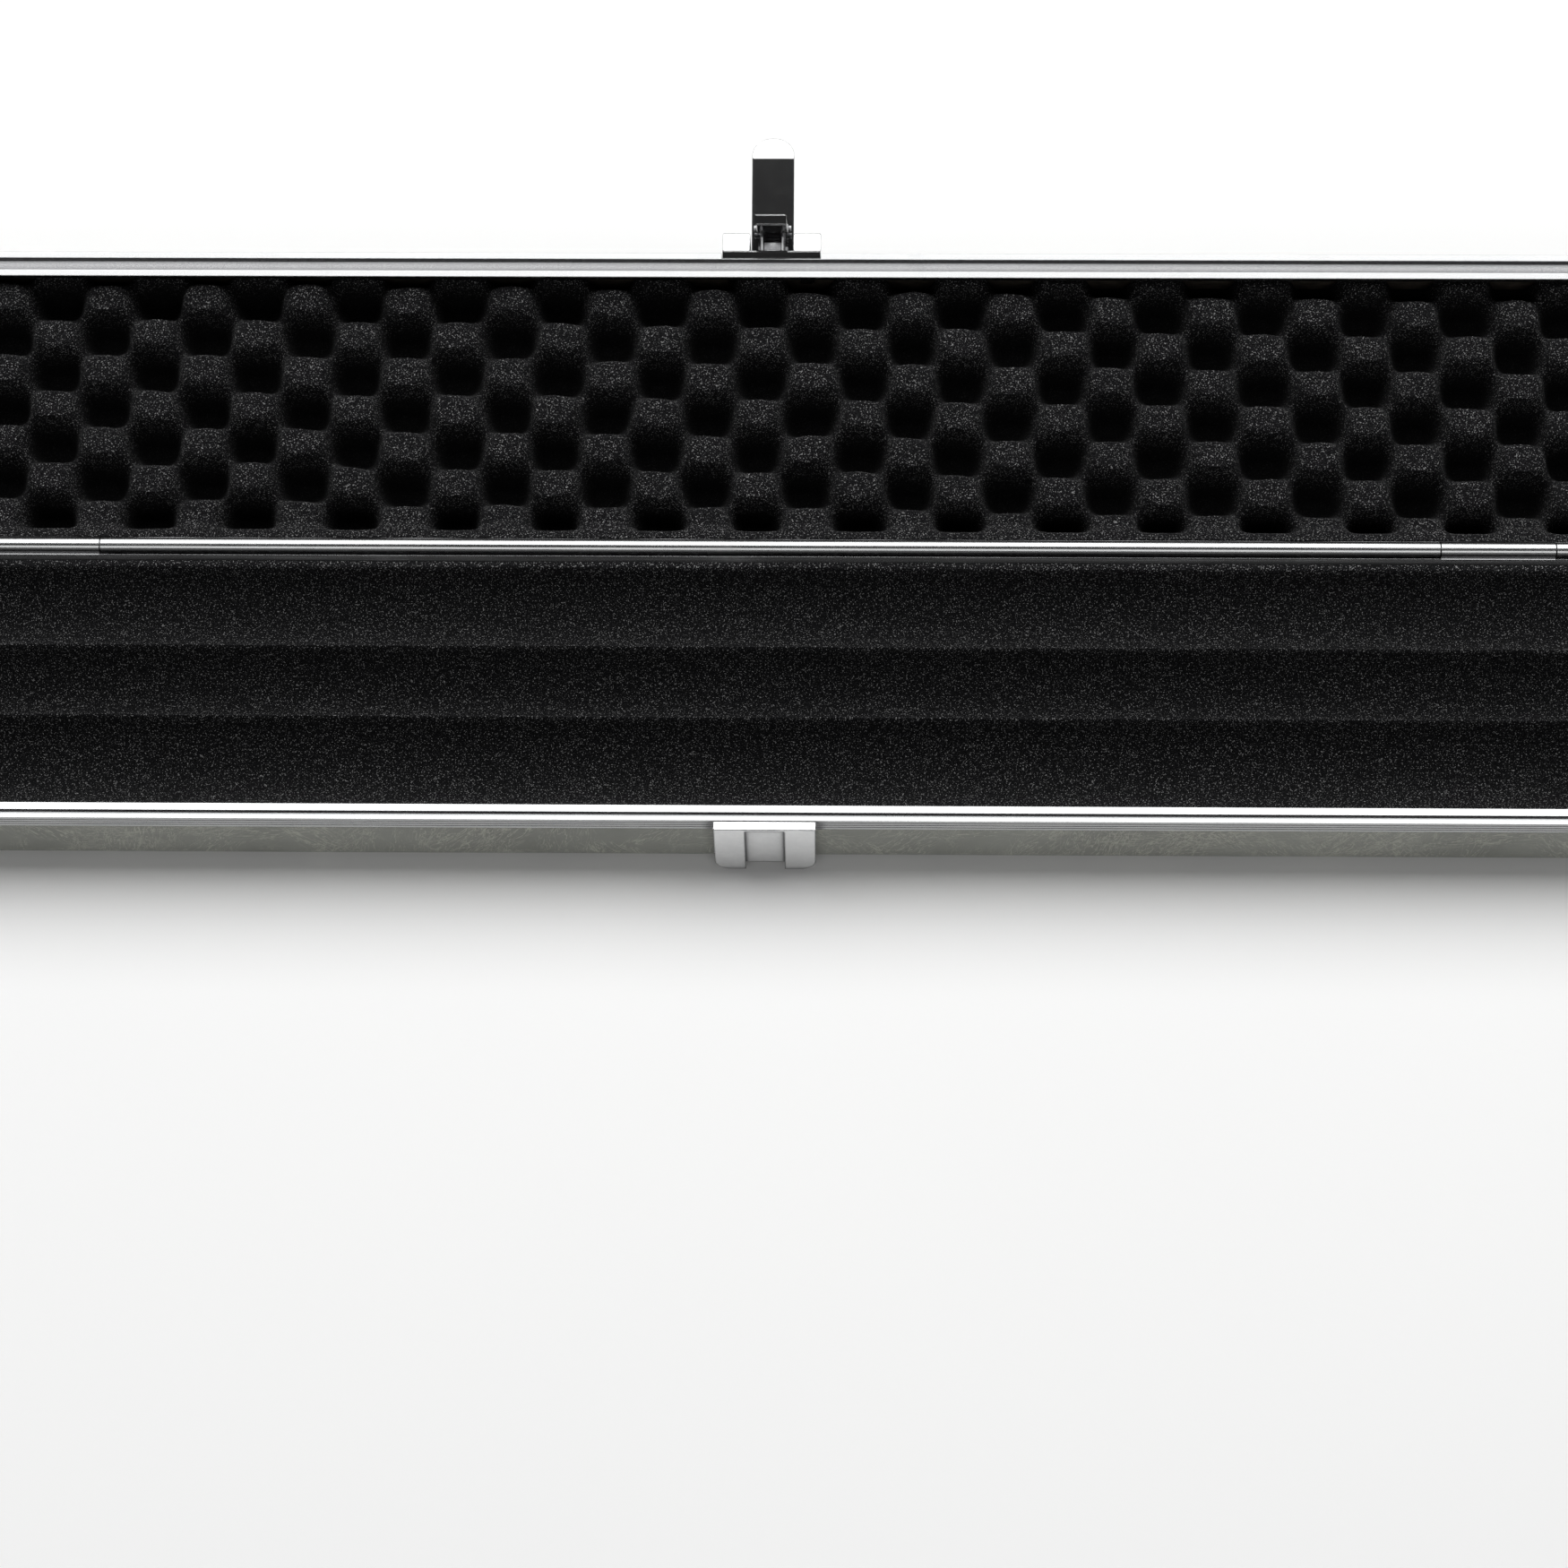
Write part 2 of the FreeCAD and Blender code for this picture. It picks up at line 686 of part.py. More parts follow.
def arched_band(thickness, inset, y, toe=None):
    """A band of the strap's section, inset from its faces; toe is the height of blunt ends."""
    body = new_body("Arch")
    upper = arch(inset, inset * 3, toe or zero)
    lower = arch(inset + thickness, (inset + thickness) * 3, zero)
    if toe is not None:
        upper = [(-foot, strap_low)] + upper + [(foot, strap_low)]
    band = pad(body, "XZ", -y[1], -y[0], upper + lower[::-1])
    return body, band


def runs_along(e):
    """Whether an edge of the strap runs along it, above its feet."""
    a, b = e.Vertexes[0], e.Vertexes[-1]
    return abs(a.Y - b.Y) < 1e-6 and abs(a.X - b.X) > 1 and max(a.Z, b.Z) > float(strap_low) + 0.01


strap, strap_band = arched_band(strap_thickness, zero, strap_y, strap_thickness / 2)
fillet(strap, strap_band, strap_thickness * 0.3, runs_along)
core_y = (strap_y[0] + core_margin, strap_y[1] - core_margin)
core_depth = (strap_thickness - strap_core) / 2
core, _ = arched_band(strap_core, core_depth, core_y)
hollow, _ = arched_band(strap_core, core_depth, core_y)
keep(cut(strap, hollow), "handle_strap", lid_open)
keep(group(core), "handle_core", lid_open)


# ---- latches -----------------------------------------------------------------------------
# Each latch is drawn about x = 0 with the outer face of the rails at y = 0, and reaches
# towards -Y. The claw hangs from a rod in the lever and hooks under the keeper's middle panel.

half_latch = latch_width / 2
half_gap = ear_gap / 2
half_neck = neck_width / 2
rod_level = pin_level - claw_rod_drop
behind_rail = -rail_wall


def reach(inner, outer):
    """A pair of limits along Y from two distances out from the rail's face."""
    return (-outer, -inner)


def across(half):
    return (-half, half)


def both_sides(inner, outer):
    return [(inner, outer), (-outer, -inner)]


def pin(half, y, z, radius):
    return cylinder("X", (-half, -y, z), half * 2, radius, "Pin")


def rounded_upright(x, y, z, corner, top, left, edge=None):
    """A block whose outer upper (or lower) corner is rounded, seen from the front. edge rounds
    the rim of its front face."""
    low, high = z
    marks = [(x[0], low), (x[1], low), (x[1], high), (x[0], high)]
    rounded = {(True, True): 3, (True, False): 2, (False, True): 0, (False, False): 1}[top, left]
    marks[rounded] += (corner,)
    body = new_body("Cheek")
    solid = pad(body, "XZ", -y[1], -y[0], marks)
    if edge is not None:
        front = float(y[0])
        fillet(body, solid, edge, lambda e: all(abs(v.Y - front) < 1e-6 for v in e.Vertexes))
    return body


def latch_bracket():
    ears = [rounded_upright(x, reach(zero, ear_reach), (ear_low, ear_top), ear_corner, True,
                            x[0].number < 0, ear_edge) for x in both_sides(half_gap, half_latch)]
    plate = box(across(half_latch), reach(behind_rail, bracket_plate),
                (lid_rail_top + slack * 2, ear_top - plate_drop))
    half_foot = half_latch - slack * 2
    apron = box(across(half_foot), reach(behind_rail + slack / 2, bracket_apron),
                (lid_slot_low - overrun, lid_rail_top + overrun))
    # the foot wraps under the rail, its underside rising towards the inside
    sole = new_body("Foot")
    inner, outer, foot_low = 2 * rail_wall - slack, -bracket_apron, lid_low + slack
    pad(sole, "YZ", -half_foot, half_foot,
        [(outer, foot_low), (inner, foot_low + foot_rise), (inner, lid_slot_low),
         (outer, lid_slot_low)])
    joined = fuse(*ears, plate, apron, sole)
    return cut(joined, pin(half_latch + overrun, pin_reach, pin_level, pin_radius),
               *screw_bores([zero], zero, bracket_screw_level))


def latch_lever():
    body = new_body("Lever")
    back, front = -lever_face, -lever_face - lever_thickness
    bend = lever_low + finger_lip
    side = [(back, lever_top), (back, bend), (back - lip_reach, lever_low),
            (front - lip_reach, lever_low + lip_rise), (front, bend + lip_rise), (front, lever_top)]
    plate = pad(body, "YZ", -lever_width / 2, lever_width / 2, side)

    def at_tip(e):
        short = e.Length < 2 * float(lever_thickness)
        low = all(v.Z < float(lever_low + lip_rise) + 0.1 for v in e.Vertexes)
        return short and low and abs(e.Vertexes[0].X - e.Vertexes[-1].X) < 1e-6

    fillet(body, plate, lever_width * 0.47, at_tip)
    neck = box(across(half_neck), reach(pin_reach, lever_face),
               (pin_level - barrel_wall, pin_level + barrel_wall))
    barrel = pin(half_neck, pin_reach, pin_level, barrel_wall)
    cheeks = [box(x, reach(pin_reach - eye * 0.9, lever_face), (rod_level - eye, pin_level))
              for x in both_sides(half_neck - cheek, half_neck)]
    return cut(fuse(body, neck, barrel, *cheeks),
               pin(half_neck + overrun, pin_reach, pin_level, pin_radius + running_gap),
               pin(half_neck + overrun, pin_reach, rod_level, claw_rod_radius + running_gap / 3))


def latch_claw():
    half_barrel = half_neck - cheek - fit_gap / 2
    barrel = pin(half_barrel, pin_reach, rod_level, eye)
    outside = claw_face + claw_thickness
    neck = box(across(half_barrel), reach(claw_face, outside), (rod_level - claw_neck, rod_level))
    shank = box(across(claw_width / 2), reach(claw_face, outside),
                (claw_hook_low, rod_level - claw_neck + claw_thickness))
    hook = box(across(claw_width / 2), reach(claw_face - claw_hook, outside),
               (claw_hook_low, claw_hook_low + claw_thickness))
    return cut(fuse(barrel, neck, shank, hook),
               pin(half_neck, pin_reach, rod_level, claw_rod_radius + running_gap))


def latch_keeper():
    top = parting - slack * 2
    seat = base_rail_low - slack
    half_panel = claw_width / 2 + panel_spare
    half_keeper = half_latch - fit_gap
    blocks = []
    for x in both_sides(half_panel, half_keeper):
        left = x[0].number < 0
        blocks.append(rounded_upright(x, reach(behind_rail + slack / 2, keeper_reach),
                                      (keeper_low, seat), keeper_corner, False, left))
        blocks.append(box(x, reach(slack / 2, keeper_reach), (seat - overrun, top)))
    flange_bar = box(across(half_keeper), reach(slack / 2, keeper_reach), (top - keeper_flange, top))
    panel = box(across(half_panel), reach(panel_depth, panel_depth + claw_thickness),
                (keeper_edge, top))
    return cut(fuse(*blocks, flange_bar, panel), *screw_bores([zero], zero, keeper_screw_level))


def coils(x, turns, y, z, radius):
    """Close turns of spring wire around a pin, each a ring."""
    rings = []
    for i in range(turns):
        ring = doc.addObject("Part::Torus", "Turn")
        ring.Placement = FreeCAD.Placement(FreeCAD.Vector(), AXES["X"])
        bind(ring, Radius1=radius, Radius2=wire / 2)
        bind(ring, Placement__Base__x=x + coil_pitch * i, Placement__Base__y=-y)
        bind(ring, Placement__Base__z=z)
        rings.append(ring)
    return rings


spring_turns, claw_spring_turns = 4, 2
spring_start = half_neck + slack + wire / 2
spring_end = spring_start + coil_pitch * (spring_turns - 1)
for word, station in latch_stations.items():
    at_face = shift(station, -half_width)
    lever_open = turn_about_x(-pin_reach, pin_level, -float(lever_travel))
    claw_open = turn_about_x(-pin_reach, rod_level, float(claw_swing))
    lid_place = lid_open.multiply(at_face)
    lever_place = lid_place.multiply(lever_open)
    keep(latch_keeper(), f"keeper_{word}", at_face)
    keep(latch_bracket(), f"latch_bracket_{word}", lid_place)
    keep(group(pin(half_latch - slack, pin_reach, pin_level, pin_radius)), f"latch_pin_{word}",
         lid_place)
    springs = coils(spring_start, spring_turns, pin_reach, pin_level, coil_radius)
    springs += coils(-spring_end, spring_turns, pin_reach, pin_level, coil_radius)
    keep(group(*springs), f"latch_springs_{word}", lid_place)
    keep(latch_lever(), f"latch_lever_{word}", lever_place)
    keep(group(pin(half_gap - claw_rod_radius, pin_reach, rod_level, claw_rod_radius)),
         f"claw_rod_{word}", lever_place)
    claw_coil = claw_rod_radius + wire / 2 + slack
    keep(group(*coils(spring_start, claw_spring_turns, pin_reach, rod_level, claw_coil)),
         f"claw_spring_{word}", lever_place)
    keep(latch_claw(), f"latch_claw_{word}", lever_place.multiply(claw_open))

doc.recompute()
failed = [o.Name for o in doc.Objects if {"Invalid", "Error"} & set(o.State)]
if failed:
    raise SystemExit(f"these objects failed: {failed}")
os.makedirs("parts", exist_ok=True)
for item in pieces:
    if item.Shape.isNull() or not item.Shape.isValid():
        raise SystemExit(f"{item.Label} has no valid shape")
    item.Shape.exportStep(os.path.join("parts", f"{item.Label}.step"))
print(f"{len(pieces)} sub-parts written")
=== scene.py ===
import json
import math

import bmesh
import bpy
import numpy as np
from mathutils import Matrix, Vector, noise


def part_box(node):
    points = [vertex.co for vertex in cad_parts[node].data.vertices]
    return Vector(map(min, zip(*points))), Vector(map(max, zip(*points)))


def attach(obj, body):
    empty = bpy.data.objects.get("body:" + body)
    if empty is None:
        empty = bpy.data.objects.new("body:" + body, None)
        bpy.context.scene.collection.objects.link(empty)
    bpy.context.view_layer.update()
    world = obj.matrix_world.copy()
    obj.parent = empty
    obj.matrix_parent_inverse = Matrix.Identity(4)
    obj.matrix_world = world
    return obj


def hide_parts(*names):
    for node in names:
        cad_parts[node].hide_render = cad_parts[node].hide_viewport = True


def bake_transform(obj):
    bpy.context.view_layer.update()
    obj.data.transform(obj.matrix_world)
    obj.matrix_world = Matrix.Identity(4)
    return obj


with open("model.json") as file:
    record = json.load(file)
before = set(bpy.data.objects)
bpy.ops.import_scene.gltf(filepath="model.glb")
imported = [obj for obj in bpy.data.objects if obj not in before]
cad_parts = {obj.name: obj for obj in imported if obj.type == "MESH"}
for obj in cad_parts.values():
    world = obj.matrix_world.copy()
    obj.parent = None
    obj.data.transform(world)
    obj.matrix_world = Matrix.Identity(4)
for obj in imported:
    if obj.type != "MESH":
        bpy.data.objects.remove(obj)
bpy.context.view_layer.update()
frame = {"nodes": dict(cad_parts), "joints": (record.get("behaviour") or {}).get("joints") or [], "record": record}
nodes = frame["nodes"]
joints = {joint["name"]: joint for joint in frame["joints"]}
MM = 0.001

# The case lies open. A lid piece is drawn as in the closed case and turned with OPEN.
HINGE = Vector(joints["lid_hinge"]["pos_m"])
OPENING = math.radians(joints["lid_hinge"]["range_deg"][1])
OPEN = (Matrix.Translation(HINGE) @ Matrix.Rotation(-OPENING, 4, "X")
        @ Matrix.Translation(-HINGE))
to_closed = OPEN.inverted()


# ---- material helpers --------------------------------------------------------------------


class Finish:
    """A procedural material, built up one node at a time around its Principled shader."""

    def __init__(self, name, metallic=0.0, specular=0.5, sheen=0.0):
        self.material = bpy.data.materials.new(name)
        self.material.use_nodes = True
        self.tree = self.material.node_tree
        self.shader = self.tree.nodes["Principled BSDF"]
        self.shader.inputs["Metallic"].default_value = metallic
        self.shader.inputs["Specular IOR Level"].default_value = specular
        self.shader.inputs["Sheen Weight"].default_value = sheen
        place = self.tree.nodes.new("ShaderNodeTexCoord")
        self.place = place.outputs["Object"]
        self.normal = place.outputs["Normal"]

    def feed(self, socket, value):
        """Links a socket to another, or sets its value."""
        if isinstance(value, bpy.types.NodeSocket):
            self.tree.links.new(value, socket)
        elif value is not None:
            socket.default_value = value

    def add(self, kind, inputs, **settings):
        node = self.tree.nodes.new("ShaderNode" + kind)
        for key, value in settings.items():
            setattr(node, key, value)
        for key, value in inputs.items():
            self.feed(node.inputs[key], value)
        return node

    def math(self, operation, a, b=None):
        return self.add("Math", {0: a, 1: b}, operation=operation).outputs[0]

    def mapped(self, vector, turn=(0, 0, 0), scale=(1, 1, 1)):
        """The vector turned by degrees, then scaled."""
        angles = [math.radians(degrees) for degrees in turn]
        turned = self.add("Mapping", {"Vector": vector, "Rotation": angles})
        return self.add("Mapping", {"Vector": turned.outputs[0], "Scale": scale}).outputs[0]

    def noise(self, vector, scale, detail=2.0, roughness=0.5, distortion=0.0):
        return self.add("TexNoise", {"Vector": vector, "Scale": scale, "Detail": detail,
                                     "Roughness": roughness, "Distortion": distortion}).outputs[0]

    def cells(self, vector, scale, feature="F1"):
        """Distances in a pattern of cells."""
        return self.add("TexVoronoi", {"Vector": vector, "Scale": scale},
                        feature=feature).outputs["Distance"]

    def span(self, value, low, high, to_low=0.0, to_high=1.0):
        """The value's range low to high spread smoothly over to_low to to_high, and clamped."""
        return self.add("MapRange", {"Value": value, "From Min": low, "From Max": high,
                                     "To Min": to_low, "To Max": to_high},
                        interpolation_type="SMOOTHSTEP").outputs[0]

    def blend(self, share, a, b):
        """Two colours mixed by a share from 0 to 1."""
        node = self.add("Mix", {0: share}, data_type="RGBA")
        for socket, value in ((node.inputs[6], a), (node.inputs[7], b)):
            self.feed(socket, (*value, 1.0) if isinstance(value, tuple) else value)
        return node.outputs[2]

    def bump(self, height, depth, strength=1.0, over=None):
        """A bump of a real depth in metres; over is the bump below it."""
        return self.add("Bump", {"Height": height, "Distance": depth, "Strength": strength,
                                 "Normal": over}).outputs[0]

    def done(self, colour, roughness, normal=None):
        self.feed(self.shader.inputs["Base Color"], colour)
        self.feed(self.shader.inputs["Roughness"], roughness)
        self.feed(self.shader.inputs["Normal"], normal)
        return self.material


# the leather's layers of crackle: the way each runs in degrees, and a shift that sets it apart
CRACKLE_LAYERS = ((82, 0.0), (52, 3.1), (128, 6.7), (8, 9.4))


def leather(name, dark, light, crease, turn):
    """Smooth grey leather with bands of fine, pale crackle. turn, in degrees about X, brings
    the piece back to its closed position, where top and walls lie square."""
    f = Finish(name, specular=0.45)
    flat = f.mapped(f.place, (turn, 0, 0))
    x, y, z = f.add("SeparateXYZ", {0: flat}).outputs
    facing = f.math("ABSOLUTE", f.add("SeparateXYZ", {0: f.normal}).outputs[0])
    # unfolded: along the case and round its section, or across it on the two ends
    sheet = f.add("CombineXYZ", {0: x, 1: f.math("ADD", y, z), 2: 0.0})
    end = f.add("CombineXYZ", {0: y, 1: z, 2: x})
    on_end = f.math("GREATER_THAN", facing, 0.75)
    hide = f.add("Mix", {0: on_end, 4: sheet.outputs[0], 5: end.outputs[0]},
                 data_type="VECTOR").outputs[1]

    crackle = None
    for angle, shift in CRACKLE_LAYERS:
        along = f.mapped(hide, (0, 0, -angle))
        shifted = f.add("VectorMath", {0: along, 1: (shift, shift, shift)},
                        operation="ADD").outputs[0]
        lines = f.noise(f.mapped(shifted, scale=(0.2, 1, 1)), scale=620, detail=2.5,
                        roughness=0.6, distortion=0.5)
        lines = f.span(f.math("ABSOLUTE", f.math("SUBTRACT", lines, 0.5)), 0.0, 0.035, 1.0, 0.0)
        bands = f.noise(f.mapped(shifted, scale=(0.34, 1, 1)), scale=52, detail=2.0,
                        roughness=0.55, distortion=0.4)
        layer = f.math("MULTIPLY", lines, f.span(bands, 0.47, 0.62))
        crackle = layer if crackle is None else f.math("MAXIMUM", crackle, layer)

    clouds = f.noise(hide, scale=17, detail=4.0, roughness=0.6)
    fine = f.noise(hide, scale=210, detail=3.0, roughness=0.6)
    body = f.blend(f.span(clouds, 0.3, 0.7), dark, light)
    body = f.blend(f.span(fine, 0.35, 0.8, 0.0, 0.35), body, light)
    colour = f.blend(f.math("MULTIPLY", crackle, 0.75), body, crease)
    grain = f.bump(f.cells(hide, scale=1500), 0.05 * MM, 0.3)
    grain = f.bump(f.noise(hide, scale=420), 0.12 * MM, 0.35, grain)
    surface = f.bump(crackle, 0.10 * MM, 0.5, grain)
    rough = f.math("ADD", f.span(clouds, 0.3, 0.7, 0.40, 0.52), f.math("MULTIPLY", crackle, 0.12))
    return f.done(colour, rough, surface)


# painted shade for metals: dark lines along edges, and a darker tone in inner corners and recesses
EDGE_PAINTED_SHADE, RECESS_PAINTED_SHADE = (0.03, 0.03, 0.032), (0.11, 0.11, 0.115)


def metal(name, colour, shadow, rough, streak_scale, streak=(1, 1, 1), depth=0.004 * MM,
          edge=0.2 * MM, edge_shade=0.0):
    """Metal with fine scratches, drawn out as streak says. Its edges are softly broken over the
    width edge and darkened there by painted shade, a share from 0 to 1. Its inner corners and recesses get painted
    shade."""
    f = Finish(name, metallic=1.0)
    marks = f.noise(f.mapped(f.place, scale=streak), scale=streak_scale, detail=4.0,
                    roughness=0.65)
    smears = f.noise(f.place, scale=38, detail=3.0, roughness=0.6)
    tone = f.blend(f.span(marks, 0.3, 0.75), shadow, colour)
    tone = f.blend(f.span(smears, 0.35, 0.75, 0.0, 0.5), tone, colour)
    roughness = f.math("ADD", f.span(marks, 0.3, 0.8, rough * 0.85, rough * 1.2),
                       f.span(smears, 0.55, 0.8, 0.0, rough * 0.25))
    # the rounded normal leaves the true one only near an edge
    rounded = f.add("Bevel", {"Radius": edge}, samples=6).outputs[0]
    true = f.add("NewGeometry", {}).outputs["Normal"]
    agree = f.add("VectorMath", {0: rounded, 1: true}, operation="DOT_PRODUCT").outputs["Value"]
    # painted shade along the edges, standing in for the dark edge reflections
    tone = f.blend(f.span(agree, 0.998, 0.93, 0.0, edge_shade), tone, EDGE_PAINTED_SHADE)
    # painted shade in inner corners and recesses, from ambient occlusion
    exposed = f.add("AmbientOcclusion", {"Distance": 4 * MM}, samples=8).outputs["AO"]
    tone = f.blend(f.span(exposed, 0.95, 0.78, 0.0, 0.8), tone, RECESS_PAINTED_SHADE)
    return f.done(tone, roughness, f.bump(marks, depth, 0.6, rounded))


def board(name):
    """Dark pressed fibre board."""
    f = Finish(name, specular=0.2)
    fibres = f.noise(f.mapped(f.place, scale=(0.3, 1, 1)), scale=900, detail=4.0, roughness=0.7)
    flecks = f.noise(f.place, scale=160, detail=3.0, roughness=0.6)
    colour = f.blend(f.span(fibres, 0.3, 0.7), (0.022, 0.018, 0.015), (0.075, 0.062, 0.05))
    colour = f.blend(f.span(flecks, 0.45, 0.8, 0.0, 0.5), colour, (0.11, 0.09, 0.07))
    return f.done(colour, f.span(fibres, 0.3, 0.7, 0.75, 0.95), f.bump(fibres, 0.1 * MM, 0.6))


def open_foam(name, turn, face, deep, shade):
    """Black open-cell foam: torn cell walls painted lighter and dotted with painted glints against pores
    darkened by painted shade, and further painted shade, a share shade, that deepens from the level face to the
    level deep, once turned by degrees about X."""
    f = Finish(name, specular=0.15)
    walls = f.cells(f.place, scale=1700, feature="DISTANCE_TO_EDGE")
    coarse = f.noise(f.place, scale=1500, roughness=0.6)
    # painted light on the cell walls against painted shade in the pores
    lit = f.math("MULTIPLY", f.span(walls, 0.0, 0.25, 1.0, 0.0), f.span(coarse, 0.35, 0.65))
    # painted glints: bright specks standing in for highlights on the cell walls
    glints = f.span(f.noise(f.place, scale=2300, detail=1.0), 0.61, 0.69)
    colour = f.blend(lit, (0.002, 0.002, 0.0025), (0.015, 0.015, 0.0165))
    colour = f.blend(glints, colour, (0.25, 0.25, 0.25))
    # painted shade that deepens from the foam's face into its pits
    level = f.add("SeparateXYZ", {0: f.mapped(f.place, (turn, 0, 0))}).outputs[2]
    painted_pit_shade = f.span(level, face, deep)
    colour = f.blend(f.math("MULTIPLY", painted_pit_shade, shade), colour, (0.001, 0.001, 0.0012))
    height = f.math("ADD", f.span(walls, 0.0, 0.3, 1.0, 0.0), coarse)
    return f.done(colour, f.span(coarse, 0.3, 0.7, 0.85, 1.0), f.bump(height, 0.3 * MM, 0.7))


def thread(name):
    """Twisted off-white sewing thread."""
    f = Finish(name, specular=0.35, sheen=0.2)
    plies = f.add("TexWave", {"Vector": f.mapped(f.place, (0, 0, 35)), "Scale": 900.0,
                              "Distortion": 1.5}).outputs[1]
    colour = f.blend(plies, (0.66, 0.66, 0.62), (0.88, 0.88, 0.85))
    return f.done(colour, f.span(plies, 0, 1, 0.5, 0.75), f.bump(plies, 0.08 * MM, 0.6))


def stiffener(name):
    """Dull fibre-filled plastic."""
    f = Finish(name, specular=0.3)
    flecks = f.noise(f.place, scale=700, detail=4.0, roughness=0.7)
    colour = f.blend(flecks, (0.02, 0.02, 0.02), (0.07, 0.07, 0.07))
    return f.done(colour, f.span(flecks, 0.3, 0.7, 0.5, 0.7), f.bump(flecks, 0.05 * MM, 0.4))


def paper(name):
    """Matt white background paper."""
    f = Finish(name, specular=0.15)
    mottle = f.noise(f.place, scale=3.0, detail=3.0)
    return f.done(f.blend(mottle, (0.86, 0.86, 0.86), (0.89, 0.89, 0.885)), 0.9)


# ---- materials and the CAD nodes that keep their shape -----------------------------------

CASE_GREYS = (0.19, 0.195, 0.175), (0.255, 0.262, 0.237), (0.46, 0.46, 0.40)
STRAP_GREYS = (0.185, 0.19, 0.168), (0.25, 0.256, 0.23), (0.36, 0.365, 0.32)
TURN_BACK = math.degrees(OPENING)
base_leather = leather("base_leather", *CASE_GREYS, 0)
lid_leather = leather("lid_leather", *CASE_GREYS, TURN_BACK)
strap_leather = leather("strap_leather", *STRAP_GREYS, TURN_BACK)
aluminium = metal("aluminium", (0.55, 0.555, 0.555), (0.49, 0.495, 0.50), 0.24, streak_scale=1800,
                  streak=(0.01, 1, 1), depth=0.002 * MM, edge=0.3 * MM, edge_shade=0.25)
chrome = metal("chrome", (0.88, 0.885, 0.885), (0.80, 0.805, 0.81), 0.07, streak_scale=260,
               depth=0.0015 * MM, edge=0.8 * MM, edge_shade=0.9)
steel = metal("steel", (0.62, 0.62, 0.62), (0.44, 0.44, 0.45), 0.3, streak_scale=900)
FACE, PIT = 31.8 * MM, 47 * MM          # levels of the lid lining in the closed case
# the lid foam's shader turns it back about the origin and not the hinge, which lifts it by this
LIFTED = HINGE.y * math.sin(OPENING) + HINGE.z * math.cos(OPENING) - HINGE.z
# the foams' painted shade: strong in the lid's pits, slight in the base's channels
base_foam = open_foam("base_foam", 0, 27 * MM, 10 * MM, 0.35)
lid_foam = open_foam("lid_foam", TURN_BACK, LIFTED + FACE + 1 * MM, LIFTED + PIT - 2 * MM, 0.95)
white_thread = thread("white_thread")

FINISHES = {"leather": base_leather, "strap_leather": strap_leather,
            "board": board("fibre_board"), "foam": base_foam, "aluminium": aluminium,
            "chrome": chrome, "steel": steel, "stiffener": stiffener("strap_core")}
slots = {part["node"]: part["material_slot"] for part in frame["record"]["subparts"]}
for name, node in nodes.items():
    node.data.materials.clear()
    node.data.materials.append(lid_leather if name == "lid_cover" else FINISHES[slots[name]])


# ---- shape helpers -----------------------------------------------------------------------

SHARP = math.radians(50)                # edges that turn by more than this aren't smoothed
ROUND = np.linspace(0, 2 * math.pi, 9)[:-1]     # the angles of a round section's eight points


def mesh_object(name, points, faces, finish, smooth=True):
    mesh = bpy.data.meshes.new(name)
    mesh.from_pydata([tuple(p) for p in points], [], faces)
    mesh.validate()
    mesh.polygons.foreach_set("use_smooth", [smooth] * len(mesh.polygons))
    mesh.set_sharp_from_angle(angle=SHARP)
    mesh.materials.append(finish)
    item = bpy.data.objects.new(name, mesh)
    bpy.context.scene.collection.objects.link(item)
    return item


def swept(name, bars, finish, place=Matrix.Identity(4)):
    """Closed solids in one mesh, each through a list of rings, all rings of equal count."""
    points, faces = [], []
    for rings in bars:
        first, count = len(points), len(rings[0])
        points += [place @ p for ring in rings for p in ring]
        for start in range(first, len(points) - count, count):
            for j in range(count):
                k = (j + 1) % count
                faces.append((start + j, start + k, start + count + k, start + count + j))
        faces.append(list(range(first, first + count)))
        faces.append(list(range(len(points) - count, len(points))))
    item = mesh_object(name, points, faces, finish)
    # turn every face outwards
    work = bmesh.new()
    work.from_mesh(item.data)
    bmesh.ops.recalc_face_normals(work, faces=work.faces)
    work.to_mesh(item.data)
    work.free()
    return item


def stations(*runs):
    """Positions along an axis: each run is (from, to, step), and shared ends are kept once."""
    marks = []
    for start, end, step in runs:
        count = max(1, round((end - start) / step))
        marks += list(np.linspace(start, end, count + 1)[1 if marks else 0:])
    return marks


def mirrored(half):
    """Positions from 0 outwards, continued to the other side of 0."""
    return [-x for x in half[:0:-1]] + half


def ease(share):
    """A share held between 0 and 1, with a soft start and end."""
    share = min(1.0, max(0.0, share))
    return share * share * (3 - 2 * share)


def wander(x, y, size, seed):
    """Smooth irregularity between about -1 and 1 that changes over the given size."""
    return noise.noise(Vector((x / size, y / size, seed)))


def squeeze(x, half_x, half_y, corner=7.5 * MM):
    """How much narrower a lining is at x, so that its four upright edges are round."""
    over = max(0.0, abs(x) - (half_x - corner))
    return 1 - (corner - math.sqrt(max(0.0, corner * corner - over * over))) / half_y


def closed_box(node):
    """A lid node's lowest and highest corners in the closed case."""
    corners = [to_closed @ v.co for v in nodes[node].data.vertices]
    return (Vector([pick(p[i] for p in corners) for i in range(3)]) for pick in (min, max))


# ---- base lining: three rounded channels with soft ridges between them -------------------

foam_low, foam_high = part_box("base_foam")
# each channel's middle across the case, and half its width
CHANNELS = ((27.4 * MM, 13.6 * MM), (0.3 * MM, 11.8 * MM), (-27.8 * MM, 14.6 * MM))
CHANNEL_DEPTH = 15 * MM
CHANNEL_END = foam_high.x - 27 * MM
END_SLOPE = 1.6 * MM
